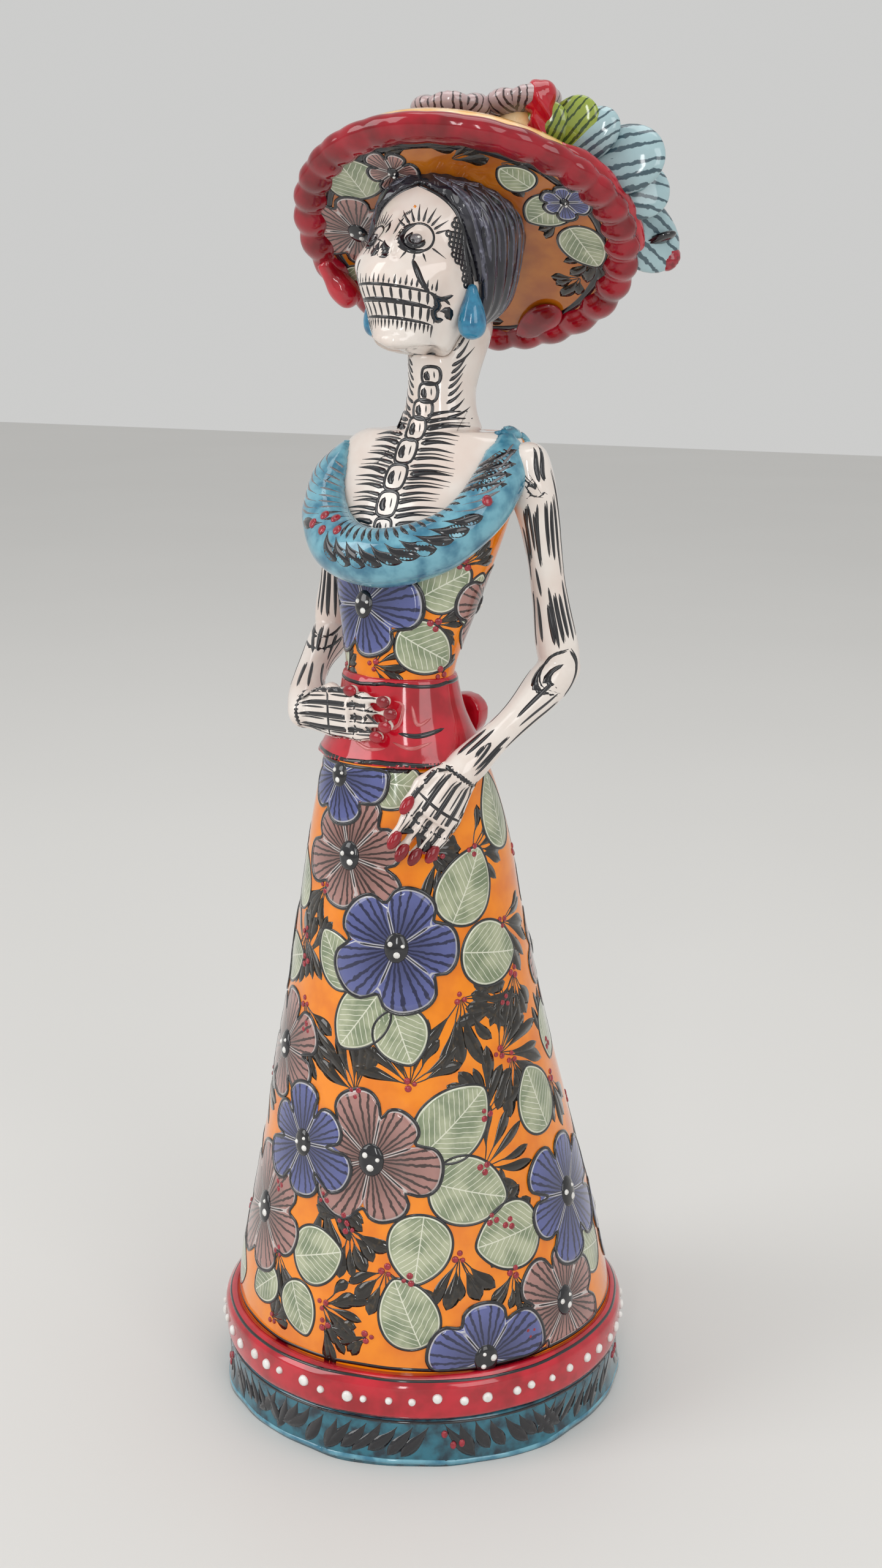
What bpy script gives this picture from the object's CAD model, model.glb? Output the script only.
import math

import bpy
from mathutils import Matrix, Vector, noise
from mathutils.bvhtree import BVHTree


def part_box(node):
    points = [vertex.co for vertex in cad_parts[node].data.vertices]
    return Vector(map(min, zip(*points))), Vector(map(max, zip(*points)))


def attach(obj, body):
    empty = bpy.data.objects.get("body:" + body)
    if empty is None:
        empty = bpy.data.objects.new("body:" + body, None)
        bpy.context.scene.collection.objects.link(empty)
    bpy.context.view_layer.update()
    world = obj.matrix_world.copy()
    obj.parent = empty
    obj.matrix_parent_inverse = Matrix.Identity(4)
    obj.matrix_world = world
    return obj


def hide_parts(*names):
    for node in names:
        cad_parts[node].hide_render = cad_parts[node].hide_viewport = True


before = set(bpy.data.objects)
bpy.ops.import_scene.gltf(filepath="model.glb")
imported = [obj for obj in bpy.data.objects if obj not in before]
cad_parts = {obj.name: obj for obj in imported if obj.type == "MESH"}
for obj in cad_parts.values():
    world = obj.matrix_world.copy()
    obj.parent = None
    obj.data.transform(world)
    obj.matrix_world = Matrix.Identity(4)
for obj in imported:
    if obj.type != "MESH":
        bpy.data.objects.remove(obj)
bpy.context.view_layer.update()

# Lengths here are in millimetres and angles in degrees. Meshes turn into metres as they are made.
MM = 0.001
# Right is the viewer's right and the figure's left: the figure faces -Y.
RIGHT = Vector((1, 0, 0))
BACK = Vector((0, 1, 0))
UP = Vector((0, 0, 1))
SCENE = bpy.context.scene


# ---- measuring the frame ----

def node_shape(*nodes):
    """The points and faces of some CAD nodes together."""
    points = []
    faces = []
    for node in nodes:
        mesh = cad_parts[node].data
        start = len(points)
        points += [v.co / MM for v in mesh.vertices]
        faces += [[start + i for i in polygon.vertices] for polygon in mesh.polygons]
    return points, faces


def centre_of(node):
    low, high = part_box(node)
    return (low + high) / 2 / MM


def floor_of(node):
    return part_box(node)[0].z / MM


def top_of(node):
    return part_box(node)[1].z / MM


# ---- small helpers that several shapes share ----

def wobble(seed, amount=1.0):
    """A steady number between -amount and amount for any seed; its three factors only scramble it."""
    return amount * math.sin(seed * 12.9898 + math.sin(seed * 78.233) * 3.1)


def whole_turn(count):
    """Angles in radians, evenly spread over a full turn."""
    return [2 * math.pi * i / count for i in range(count)]


def arc(wide, tall, turns, x=0.0, y=0.0):
    """Places on an ellipse about (x, y) at some angles in radians."""
    return [(x + wide * math.cos(turn), y + tall * math.sin(turn)) for turn in turns]


def loft_faces(loops, size, closed):
    """Faces over loops of size points each: the last loop joins the first when closed, or both are capped."""
    faces = []
    for i in range(loops if closed else loops - 1):
        here, there = i * size, (i + 1) % loops * size
        for k in range(size):
            n = (k + 1) % size
            faces.append([here + k, here + n, there + n, there + k])
    if not closed:
        end = (loops - 1) * size
        faces += [list(range(size))[::-1], list(range(end, end + size))]
    return faces


def ball_faces(rings, spokes):
    """Faces of a closed solid whose points are a pole, rings of points, and the other pole."""
    last = 1 + (rings - 1) * spokes
    faces = []
    for m in range(spokes):
        n = (m + 1) % spokes
        faces += [[0, 1 + m, 1 + n], [last + spokes, last + n, last + m]]
        for low in range(1, last, spokes):
            high = low + spokes
            faces.append([low + m, high + m, high + n, low + n])
    return faces


def turned(faces):
    """The same faces, looking the other way."""
    return [face[::-1] for face in faces]


def normals_of(shape):
    """The normal at each point of a shape."""
    mesh = bpy.data.meshes.new("raw")
    mesh.from_pydata(shape[0], [], shape[1])
    normals = [Vector(n.vector) for n in mesh.vertex_normals]
    bpy.data.meshes.remove(mesh)
    return normals


# ---- surfaces that are painted on ----

class Surface:
    """A skin that a place (a, b) is looked up on by casting a ray at it."""

    def __init__(self, shape, reach):
        self.tree = BVHTree.FromPolygons(*shape)
        self.reach = reach

    def hit(self, a, b):
        start, heading = self.ray(a, b)
        point, normal, _, _ = self.tree.ray_cast(start, heading)
        if point is None:
            point, normal, _, _ = self.tree.find_nearest(start + heading * self.reach * 0.7)
        return point, normal

    def spot(self, a, b, turn=0.0):
        return Spot(self, a, b, turn)


class Round(Surface):
    """Seen all round from an axis: a is the angle from the front, b the height along the axis."""

    def __init__(self, shape, base, up=UP, front=-BACK, reach=90.0):
        super().__init__(shape, reach)
        self.base = Vector(base)
        self.up = Vector(up).normalized()
        self.front = (Vector(front) - self.up * Vector(front).dot(self.up)).normalized()
        self.side = self.up.cross(self.front)

    def out(self, a):
        return self.front * math.cos(math.radians(a)) + self.side * math.sin(math.radians(a))

    def ray(self, a, b):
        out = self.out(a)
        return self.base + self.up * b + out * self.reach, -out

    def inside(self, a, b):
        """The wall met going out from the axis, for a hollow shape."""
        for nudge in (0.0, 0.07, -0.07, 0.5, -0.5):
            start = self.base + self.up * (b + nudge)
            point, _, _, _ = self.tree.ray_cast(start, self.out(a + nudge))
            if point is not None:
                return point
        return self.tree.find_nearest(start)[0]

    def scale(self, a, b):
        below = self.hit(a, b - 1)[0]
        above = self.hit(a, b + 1)[0]
        middle = (above + below) / 2 - self.base
        radius = (middle - self.up * middle.dot(self.up)).length
        return math.radians(radius), min(2.0, max(1.0, (above - below).length / 2))


class Flat(Surface):
    """Seen straight on: a runs along across, b along up."""

    def __init__(self, shape, origin, across, up, reach=60.0):
        super().__init__(shape, reach)
        self.origin = Vector(origin)
        self.across = Vector(across).normalized()
        self.up = (Vector(up) - self.across * Vector(up).dot(self.across)).normalized()
        self.normal = self.across.cross(self.up)

    def ray(self, a, b):
        return self.origin + self.across * a + self.up * b + self.normal * self.reach, -self.normal

    def scale(self, a, b):
        return 1.0, 1.0


class Spot:
    """A place on a surface with its own x and y in millimetres, turned anticlockwise by turn."""

    def __init__(self, surface, a, b, turn=0.0):
        self.surface = surface
        self.a = a
        self.b = b
        # Millimetres to one step of a and of b.
        self.a_size, self.b_size = surface.scale(a, b)
        self.cos = math.cos(math.radians(turn))
        self.sin = math.sin(math.radians(turn))

    def hit(self, x, y):
        along = (x * self.cos - y * self.sin) / self.a_size
        rise = (x * self.sin + y * self.cos) / self.b_size
        return self.surface.hit(self.a + along, self.b + rise)


# ---- raised paint ----

SUNK = 0.15  # how far paint reaches into the clay, so that it stands closed on it


class Paint:
    """Paint of one kind, gathered into a mesh of closed thin solids."""

    def __init__(self):
        self.points = []
        self.faces = []
        self.marks = []

    def add(self, points, faces, marks=None):
        start = len(self.points)
        self.points += points
        self.faces += [[start + i for i in face] for face in faces]
        self.marks += marks or [(0.0, 0.0, 0.0)] * len(points)

    def piece(self, name, material, slot, *stands_for):
        obj = piece(name, (self.points, self.faces), material, stands_for)
        layer = obj.data.attributes.new("paint", "FLOAT_VECTOR", "POINT")
        layer.data.foreach_set("vector", [value for mark in self.marks for value in mark])


def line(t):
    """Width of a brush line along its length: even, with pointed ends."""
    return math.sin(math.pi * min(1, max(0, t))) ** 0.35


def tear(t):
    """Width of a tear-shaped dab: pointed where the brush lands, round where it lifts."""
    return math.sin(math.pi * t ** 1.7) ** 0.75


def taper(t):
    """Width of a stroke that starts full and runs out."""
    return (1 - t) ** 0.7 * min(1, 6 * t + 0.35)


def even(_):
    return 1.0


def smooth_path(path, step, closed=False):
    """Points about a step apart on the smooth curve through path."""
    count = len(path)
    spans = count if closed else count - 1
    done = []
    for i in range(spans):
        if closed:
            p0, p1, p2, p3 = (Vector(path[(i + k) % count]) for k in (-1, 0, 1, 2))
        else:
            p1, p2 = Vector(path[i]), Vector(path[i + 1])
            p0 = Vector(path[i - 1]) if i else p1 * 2 - p2
            p3 = Vector(path[i + 2]) if i + 2 < count else p2 * 2 - p1
        pieces = max(2, round((p2 - p1).length / step))
        for k in range(pieces):
            t = k / pieces
            done.append(
                0.5 * (2 * p1 + (p2 - p0) * t + (2 * p0 - 5 * p1 + 4 * p2 - p3) * t * t
                       + (3 * p1 - p0 - 3 * p2 + p3) * t ** 3)
            )
    if not closed:
        done.append(Vector(path[-1]))
    return done


def stroke(paint, spot, path, width, profile=line, lift=0.07, base=0.02, step=1.0, closed=False):
    """A line of paint along a path of (x, y) at a spot, five points to a section."""
    places = smooth_path(path, step, closed)
    count = len(places)
    points = []
    for i, place in enumerate(places):
        if closed:
            tangent = places[(i + 1) % count] - places[i - 1]
        else:
            tangent = places[min(i + 1, count - 1)] - places[max(i - 1, 0)]
        side = Vector((-tangent.y, tangent.x)).normalized()
        half = max(0.04, width / 2 * profile(i / (count - 1)))
        left, left_normal = spot.hit(*(place + side * half))
        mid, mid_normal = spot.hit(*place)
        right, right_normal = spot.hit(*(place - side * half))
        points += [
            left - left_normal * SUNK,
            left + left_normal * base,
            mid + mid_normal * lift,
            right + right_normal * base,
            right - right_normal * SUNK,
        ]
    paint.add(points, loft_faces(count, 5, closed))


def drawn(paint, surface, places, width, **settings):
    """A line of paint through places (a, b) of a surface."""
    a, b = places[0]
    spot = surface.spot(a, b)
    path = [((p - a) * spot.a_size, (q - b) * spot.b_size) for p, q in places]
    stroke(paint, spot, path, width, **settings)


def patch(paint, spot, edge, mark, lift, rings=8, spokes=60):
    """A thin filled shape: edge(angle) is its outline, mark(x, y, angle, share) what its material reads."""
    centre, away = spot.hit(0, 0)
    points = [centre + away * lift]
    marks = [mark(0.0, 0.0, 0.0, 0.0)]
    turns = whole_turn(spokes)
    for k in range(1, rings + 1):
        for angle in turns:
            x, y = edge(angle)
            x, y = x * k / rings, y * k / rings
            point, normal = spot.hit(x, y)
            points.append(point + normal * lift)
            marks.append(mark(x, y, angle, k / rings))
    for angle in turns:
        point, normal = spot.hit(*edge(angle))
        points.append(point - normal * SUNK)
        marks.append(mark(*edge(angle), angle, 1.0))
    points.append(centre - away * SUNK)
    marks.append(marks[0])
    paint.add(points, ball_faces(rings + 1, spokes), marks)


def dome(paint, spot, across, along, height, x=0.0, y=0.0, rings=4, spokes=14):
    """A blob of slip or glaze standing on a surface."""
    centre, normal = spot.hit(x, y)
    points = [centre + normal * height]
    for k in range(1, rings + 1):
        share = k / rings
        rise = height * math.sqrt(max(0.0, 1 - share * share))
        for m in range(spokes):
            angle = 2 * math.pi * m / spokes
            point, away = spot.hit(x + across * share * math.cos(angle), y + along * share * math.sin(angle))
            points.append(point + away * (rise if k < rings else -SUNK))
    points.append(centre - normal * SUNK)
    paint.add(points, ball_faces(rings, spokes))


# ---- pieces ----

def piece(name, shape, material, stands_for=()):
    """A mesh object that rides on the figure, shows a material slot and stands for some CAD nodes."""
    points, faces = shape
    mesh = bpy.data.meshes.new(name)
    mesh.from_pydata([p * MM for p in points], [], faces)
    mesh.materials.append(material)
    mesh.shade_smooth()
    obj = bpy.data.objects.new(name, mesh)
    SCENE.collection.objects.link(obj)
    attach(obj, "root")
    if stands_for:
        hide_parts(*stands_for)
    return obj


def skin_over(nodes, grain, smoothing=6):
    """One closed skin over some CAD nodes, its edges softened as a glaze softens them."""
    points, faces = node_shape(*nodes)
    mesh = bpy.data.meshes.new("raw")
    mesh.from_pydata([p * MM for p in points], [], faces)
    raw = bpy.data.objects.new("raw", mesh)
    SCENE.collection.objects.link(raw)
    remesh = raw.modifiers.new("remesh", "REMESH")
    remesh.mode = "VOXEL"
    remesh.voxel_size = grain * MM
    soften = raw.modifiers.new("soften", "SMOOTH")
    soften.iterations = smoothing
    solid = raw.evaluated_get(bpy.context.evaluated_depsgraph_get()).to_mesh()
    shape = [v.co / MM for v in solid.vertices], [list(p.vertices) for p in solid.polygons]
    bpy.data.objects.remove(raw)
    bpy.data.meshes.remove(mesh)
    return shape


def pushed(shape, amount):
    """The shape with each point moved along its normal by amount(point)."""
    points, faces = shape
    return [p + n * amount(p) for p, n in zip(points, normals_of(shape))], faces


def ripple(size, amount):
    """An uneven hand-made surface: gentle rises about size across."""
    return lambda p: amount * noise.noise(p / size)


# ---- materials ----

class Nodes:
    """A material's node tree, built from the object's own coordinates in millimetres."""

    def __init__(self, name, roughness=0.1, coat=0.6):
        self.material = bpy.data.materials.new(name)
        self.material.use_nodes = True
        self.tree = self.material.node_tree
        self.shader = self.tree.nodes["Principled BSDF"]
        self.shader.inputs["Roughness"].default_value = roughness
        self.shader.inputs["Coat Weight"].default_value = coat
        self.shader.inputs["Coat Roughness"].default_value = 0.03
        self.shader.inputs["IOR"].default_value = 1.5

    def add(self, kind, inputs=None, **settings):
        node = self.tree.nodes.new("ShaderNode" + kind)
        for key, value in settings.items():
            setattr(node, key, value)
        for key, value in (inputs or {}).items():
            self.put(node.inputs[key], value)
        return node

    def put(self, socket, value):
        if isinstance(value, bpy.types.NodeSocket):
            self.tree.links.new(value, socket)
        elif isinstance(value, tuple) and len(value) == 3 and socket.type == "RGBA":
            socket.default_value = (*value, 1.0)
        else:
            socket.default_value = value

    def place(self):
        """Object coordinates in millimetres."""
        where = self.add("TexCoord").outputs["Object"]
        scaled = self.add("VectorMath", {0: where}, operation="SCALE")
        scaled.inputs["Scale"].default_value = 1 / MM
        return scaled.outputs[0]

    def math(self, operation, a, b=0.0):
        return self.add("Math", {0: a, 1: b}, operation=operation).outputs[0]

    def noise(self, size, detail=2.0):
        node = self.add("TexNoise", {"Vector": self.place(), "Scale": 1 / size, "Detail": detail})
        return node.outputs["Fac"]

    def step(self, value, low, high):
        """0 below low, 1 above high, smooth between."""
        inputs = {"Value": value, "From Min": low, "From Max": high}
        return self.add("MapRange", inputs, interpolation_type="SMOOTHSTEP").outputs["Result"]

    def mix(self, share, a, b):
        node = self.add("Mix", data_type="RGBA")
        self.put(node.inputs[0], share)
        self.put(node.inputs[6], a)
        self.put(node.inputs[7], b)
        return node.outputs[2]

    def mark(self):
        """The three values that a paint patch carries: see flower() and leaf()."""
        node = self.add("Attribute", attribute_name="paint")
        parts = self.add("SeparateXYZ", {0: node.outputs["Vector"]})
        return parts.outputs

    def bump(self, height, depth):
        node = self.add("Bump", {"Height": height, "Strength": 1.0, "Distance": depth * MM})
        self.put(self.shader.inputs["Normal"], node.outputs["Normal"])

    def done(self, colour):
        self.put(self.shader.inputs["Base Color"], colour)
        return self.material


def glaze(name, colour, deep, size=9.0, roughness=0.1, coat=0.6, wave=0.035):
    """A glossy glaze that is thicker in some places than in others."""
    nodes = Nodes(name, roughness, coat)
    pool = nodes.step(nodes.noise(size, 3.0), 0.35, 0.7)
    nodes.bump(nodes.noise(5.0, 1.0), wave)
    return nodes.done(nodes.mix(pool, colour, deep))


def petal_glaze(name, colour, deep, stripes=3.5):
    """Petals: dark brush stripes run out from the heart, with a scratched pale edge."""
    nodes = Nodes(name)
    across, reach, edge = nodes.mark()
    shaken = nodes.math("ADD", across, nodes.math("MULTIPLY", nodes.noise(1.6, 2.0), 0.16))
    wave = nodes.math("COSINE", nodes.math("MULTIPLY", shaken, 2 * math.pi * stripes))
    limit = nodes.math("ADD", nodes.math("MULTIPLY", reach, 1.25), -0.55)
    dark = nodes.step(nodes.math("SUBTRACT", wave, limit), -0.15, 0.25)
    body = nodes.mix(nodes.step(reach, 0.15, 0.95), tuple(0.38 * c for c in colour), colour)
    body = nodes.mix(nodes.math("MULTIPLY", nodes.noise(4.0, 3.0), 0.5), body, tuple(0.5 * c for c in colour))
    striped = nodes.mix(nodes.math("MULTIPLY", dark, 0.95), body, deep)
    pale = nodes.math("MULTIPLY", nodes.step(edge, 0.3, 0.42), nodes.step(edge, 0.85, 0.65))
    nodes.bump(nodes.noise(4.0, 1.0), 0.03)
    return nodes.done(nodes.mix(nodes.math("MULTIPLY", pale, 0.7), striped, (0.66, 0.64, 0.62)))


VEIN_GAP = 1.7  # between the side veins of a leaf


def leaf_glaze(name):
    """Leaves: grey-green wash, pale veins scratched through it from the middle rib."""
    nodes = Nodes(name)
    along, across, edge = nodes.mark()
    away = nodes.math("ABSOLUTE", across)
    wash = nodes.step(nodes.noise(5.5, 4.0), 0.32, 0.68)
    body = nodes.mix(wash, (0.44, 0.47, 0.31), (0.20, 0.25, 0.145))
    slant = nodes.math("SUBTRACT", along, nodes.math("MULTIPLY", away, 0.9))
    shake = nodes.math("ADD", slant, nodes.math("MULTIPLY", nodes.noise(2.5, 1.0), 0.7))
    saw = nodes.math("FRACT", nodes.math("DIVIDE", shake, VEIN_GAP))
    saw = nodes.math("ABSOLUTE", nodes.math("SUBTRACT", saw, 0.5))
    veins = nodes.math("MULTIPLY", nodes.step(saw, 0.09, 0.04), nodes.step(edge, 0.9, 1.3))
    rib = nodes.step(away, 0.2, 0.1)
    rim = nodes.math("MULTIPLY", nodes.step(edge, 0.3, 0.42), nodes.step(edge, 0.8, 0.6))
    pale = nodes.math("MAXIMUM", nodes.math("MAXIMUM", veins, rib), rim)
    nodes.bump(nodes.noise(4.0, 1.0), 0.03)
    return nodes.done(nodes.mix(nodes.math("MULTIPLY", pale, 0.8), body, (0.80, 0.80, 0.66)))


def brush_glaze(name, colour, thin, size=1.3):
    """Translucent dark brush colour, thinner in places."""
    nodes = Nodes(name)
    thinness = nodes.step(nodes.noise(size, 3.0), 0.52, 0.75)
    nodes.bump(nodes.noise(3.0, 1.0), 0.02)
    return nodes.done(nodes.mix(thinness, colour, thin))


ORANGE = glaze("orange glaze", (0.94, 0.27, 0.002), (0.80, 0.19, 0.001), coat=0.45)
SHADED_ORANGE = glaze("orange glaze under the hat", (0.50, 0.15, 0.006), (0.36, 0.085, 0.003))
RED = glaze("red glaze", (0.56, 0.006, 0.022), (0.34, 0.002, 0.010), 7.0)
DEEP_RED = glaze("deep red glaze", (0.36, 0.002, 0.014), (0.17, 0.001, 0.005), 9.0, coat=0.3)
EDGE_CREAM = glaze("cream and orange edge", (0.80, 0.42, 0.10), (0.85, 0.62, 0.36), 6.0)
PINK = glaze("thin red glaze", (0.62, 0.16, 0.16), (0.50, 0.08, 0.08), 3.0)
TEAL = glaze("teal glaze", (0.016, 0.150, 0.210), (0.002, 0.016, 0.030), 4.0)
COLLAR = glaze("pale teal glaze", (0.17, 0.42, 0.52), (0.030, 0.17, 0.27), 5.0)
DROP = glaze("blue drop glaze", (0.03, 0.25, 0.42), (0.01, 0.12, 0.24), 3.0)
CREAM = glaze("cream glaze", (0.84, 0.77, 0.71), (0.76, 0.64, 0.57), 14.0, roughness=0.12)
BLACK = brush_glaze("black line", (0.006, 0.006, 0.009), (0.020, 0.020, 0.024))
BROWN = brush_glaze("dark brush dabs", (0.010, 0.007, 0.004), (0.055, 0.032, 0.010))
GREY = brush_glaze("grey brush", (0.16, 0.15, 0.16), (0.30, 0.28, 0.28))
SLIP = glaze("white slip", (0.86, 0.85, 0.82), (0.72, 0.70, 0.66), 2.0)
HAIR = glaze("black hair glaze", (0.010, 0.010, 0.016), (0.022, 0.022, 0.034), 4.0)
BERRY = glaze("berry red", (0.38, 0.012, 0.030), (0.22, 0.004, 0.012), 1.0)
BLUE_PETAL = petal_glaze("blue petals", (0.115, 0.135, 0.36), (0.010, 0.012, 0.050))
MAUVE_PETAL = petal_glaze("mauve petals", (0.46, 0.235, 0.205), (0.030, 0.014, 0.012))
LEAF = leaf_glaze("leaves")
PLUME = petal_glaze("plume feathers", (0.42, 0.60, 0.64), (0.035, 0.075, 0.10), 3.0)
HAT_LEAF = petal_glaze("hat leaf", (0.34, 0.44, 0.06), (0.02, 0.05, 0.010), 3.5)
HAT_MAUVE = petal_glaze("hat petals", (0.58, 0.42, 0.42), (0.035, 0.018, 0.020), 3.0)
STREAK = brush_glaze("grey hair streaks", (0.075, 0.075, 0.105), (0.20, 0.20, 0.27))
SUN = glaze("orange mark", (0.85, 0.30, 0.02), (0.80, 0.22, 0.01), 2.0)

PETALS = {"blue": Paint(), "mauve": Paint()}
LEAVES = Paint()
OUTLINES = Paint()
DABS = Paint()
BERRIES = Paint()
HEARTS = Paint()
DOTS = Paint()
BLACK_LINES = Paint()
PINK_LINES = Paint()
GREY_LINES = Paint()
HAIR_STREAKS = Paint()
YELLOW_MARKS = Paint()
PALE_ORANGE = Paint()
PALE_TEAL = Paint()
BEADS = Paint()
# Petals lie over leaves, and blue ones over mauve ones, so that no two layers of paint meet.
LEAF_LIFT = 0.10
PETAL_LIFT = 0.20
BLUE_ABOVE = 0.16


# ---- motifs ----

def clipped(edge, low, high):
    """The outline edge, cut straight across below y = low and above y = high."""
    def cut(angle):
        x, y = edge(angle)
        share = 1.0
        if y < low:
            share = low / y
        if y > high:
            share = high / y
        return x * share, y * share
    return cut


HEART_SHARE = 0.24  # of a flower's radius


def flower(surface, kind, a, b, radius, petals, turn, low=-99.0, high=99.0):
    """A painted flower. Its material reads: distance across the petal, reach, and edge distance."""
    spot = surface.spot(a, b)
    half = math.pi / petals
    lift = PETAL_LIFT + (BLUE_ABOVE if kind == "blue" else 0)
    reach = [radius * (1 + wobble(a + b + 3 * i, 0.1)) for i in range(petals)]

    def petal_at(angle):
        share = (angle - math.radians(turn)) / (2 * half)
        index = round(share)
        return index % petals, (share - index) * 2

    def edge(angle):
        index, across = petal_at(angle)
        rim = reach[index] * (0.58 + 0.42 * (1 - abs(across) ** 2.8) ** 0.6)
        return rim * math.cos(angle), rim * math.sin(angle)

    outline = clipped(edge, low, high)

    def mark(x, y, angle, share):
        _, across = petal_at(angle)
        ex, ey = outline(angle)
        distance = math.hypot(x, y)
        to_side = distance * math.sin(half * (1 - abs(across)))
        return abs(across), share, min(math.hypot(ex, ey) - distance, 1.8 * to_side)

    patch(PETALS[kind], spot, outline, mark, lift, spokes=petals * 14)
    rim = [outline(2 * math.pi * i / (petals * 10)) for i in range(petals * 10)]
    stroke(OUTLINES, spot, rim, 0.8, even, lift + 0.07, lift, 1.2, closed=True)
    for i in range(petals):
        angle = math.radians(turn) + half * (2 * i + 1)
        x, y = outline(angle)
        if low < y < high:
            path = [(x * share, y * share) for share in (1.0, 0.6, 0.18)]
            stroke(OUTLINES, spot, path, 0.5, taper, lift + 0.05, lift)
    heart = HEART_SHARE * radius
    dome(HEARTS, spot, heart * 0.95, heart * 1.2, lift + 0.75)
    for i in range(3):
        angle = math.radians(turn + 130 * i + 20)
        x, y = 0.45 * heart * math.cos(angle), 0.45 * heart * math.sin(angle)
        dot = heart * (0.18 + 0.07 * i)
        dome(DOTS, spot, dot, dot, lift + 1.05, x, y, spokes=10)


def leaf(surface, a, b, length, width, heading, low=0.0, high=999.0):
    """A painted leaf from its stalk end. Its material reads: along, across, and edge distance."""
    ahead = math.radians(heading)
    length *= 1.07
    width *= 1.14
    a_size, b_size = surface.scale(a, b)
    middle_a = a + length / 2 * math.cos(ahead) / a_size
    middle_b = b + length / 2 * math.sin(ahead) / b_size
    spot = surface.spot(middle_a, middle_b, heading)

    def edge(angle):
        point = max(0.0, math.cos(angle)) ** 5
        x = length / 2 * math.cos(angle) * (1 + 0.05 * point)
        y = width / 2 * math.sin(angle) * (1 - 0.16 * math.cos(angle)) * (1 - 0.25 * point)
        return x, y

    def cut(angle):
        x, y = edge(angle)
        rise = x * math.sin(ahead) + y * math.cos(ahead)
        share = 1.0
        if rise < low - middle_b:
            share = max(0.1, (low - middle_b) / rise)
        if rise > high - middle_b:
            share = max(0.1, (high - middle_b) / rise)
        return x * share, y * share

    def mark(x, y, angle, share):
        ex, ey = cut(angle)
        return x + length / 2, y, math.hypot(ex, ey) * (1 - share)

    patch(LEAVES, spot, cut, mark, LEAF_LIFT, 8, 44)
    rim = [cut(2 * math.pi * i / 32) for i in range(32)]
    stroke(OUTLINES, spot, rim, 0.6, even, LEAF_LIFT + 0.07, LEAF_LIFT, 1.2, closed=True)


def spray(surface, a, b, heading, spread, count, length, width=3.3, berries=3):
    """Dark tear-shaped dabs fanned out from a root, with berries at the root."""
    spot = surface.spot(a, b)
    for i in range(count):
        share = i / max(1, count - 1) - 0.5
        angle = math.radians(heading + spread * share + wobble(a + i, 5))
        near = length * (0.22 + 0.12 * wobble(b + 2 * i))
        far = length * (0.98 + 0.16 * wobble(a + b + i))
        bow = 0.06 * length * wobble(a - i)
        along = Vector((math.cos(angle), math.sin(angle)))
        bent = along * (near + far) / 2 + Vector((-along.y, along.x)) * bow
        stroke(DABS, spot, [along * near, bent, along * far], width * (1 + wobble(i + b, 0.25)), tear, 0.08)
        stroke(DABS, spot, [along * 0.3, along * near, bent], 0.35, line, 0.05)
    for i in range(berries):
        angle = math.radians(heading + 120 * i + 40)
        x, y = 1.1 * math.cos(angle), 1.1 * math.sin(angle)
        size = 0.85 + wobble(a + 5 * i, 0.15)
        dome(BERRIES, spot, size, size, 0.4, x, y, spokes=10)


# ---- dress ----

SKIRT_FLOOR = top_of("hem_band") + 0.2
WAIST = top_of("skirt") - 0.2
AXIS = Vector((0, 0, 0))


def wall_of_revolution(node, low, high, step, columns, wave):
    """An open-ended hollow ring or cone that follows a CAD node inside and out."""
    outer = Round(node_shape(node), AXIS, reach=120)
    count = max(2, round((high - low) / step))
    rows = [low + 0.02 + (high - low - 0.04) * k / count for k in range(count + 1)]
    points = []
    for skin in ("outside", "inside"):
        for z in rows if skin == "outside" else reversed(rows):
            for m in range(columns):
                angle = 360 * m / columns
                out = outer.out(angle)
                if skin == "outside":
                    point, _ = outer.hit(angle, z)
                    point = point + out * wave(point, (z - low) / (high - low))
                else:
                    point = outer.inside(angle, z)
                points.append(point)
    return points, loft_faces(2 * len(rows), columns, closed=True)


def skirt_wave(point, _):
    return 0.35 * noise.noise(point / 24) + 0.12 * noise.noise(point / 9)


def band_wave(point, share):
    return 0.35 * math.sin(math.pi * share) + 0.3 * noise.noise(point / 12)


def foot_wave(point, share):
    """The foot ring flares and ruffles towards its lower edge."""
    angle = math.atan2(point.x, -point.y)
    ruffle = 0.35 * math.sin(7 * angle + 0.6) + 0.2 * math.sin(13 * angle) + 0.1 * math.sin(23 * angle)
    hollow = -1.5 * math.sin(math.pi * min(1, share * 1.1))
    return hollow + (1 - share) ** 1.5 * (0.3 + ruffle) - 0.5


skirt_shape = wall_of_revolution("skirt", floor_of("skirt"), top_of("skirt"), 2.2, 160, skirt_wave)
band_shape = wall_of_revolution("hem_band", floor_of("hem_band"), top_of("hem_band"), 0.8, 220, band_wave)
foot_shape = wall_of_revolution("base_flounce", 0, top_of("base_flounce"), 1.0, 260, foot_wave)
piece("skirt_shell", skirt_shape, ORANGE, ["skirt"])
piece("hem_ring", band_shape, RED, ["hem_band"])
piece("foot_ring", foot_shape, TEAL, ["base_flounce"])

bodice_shape = pushed(skin_over(["bodice"], 0.9, 8), ripple(16, 0.25))
piece("bodice_body", bodice_shape, ORANGE, ["bodice"])

SKIRT = Round(skirt_shape, AXIS, reach=120)
BODICE = Round(bodice_shape, (0, -7, 0))

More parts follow.
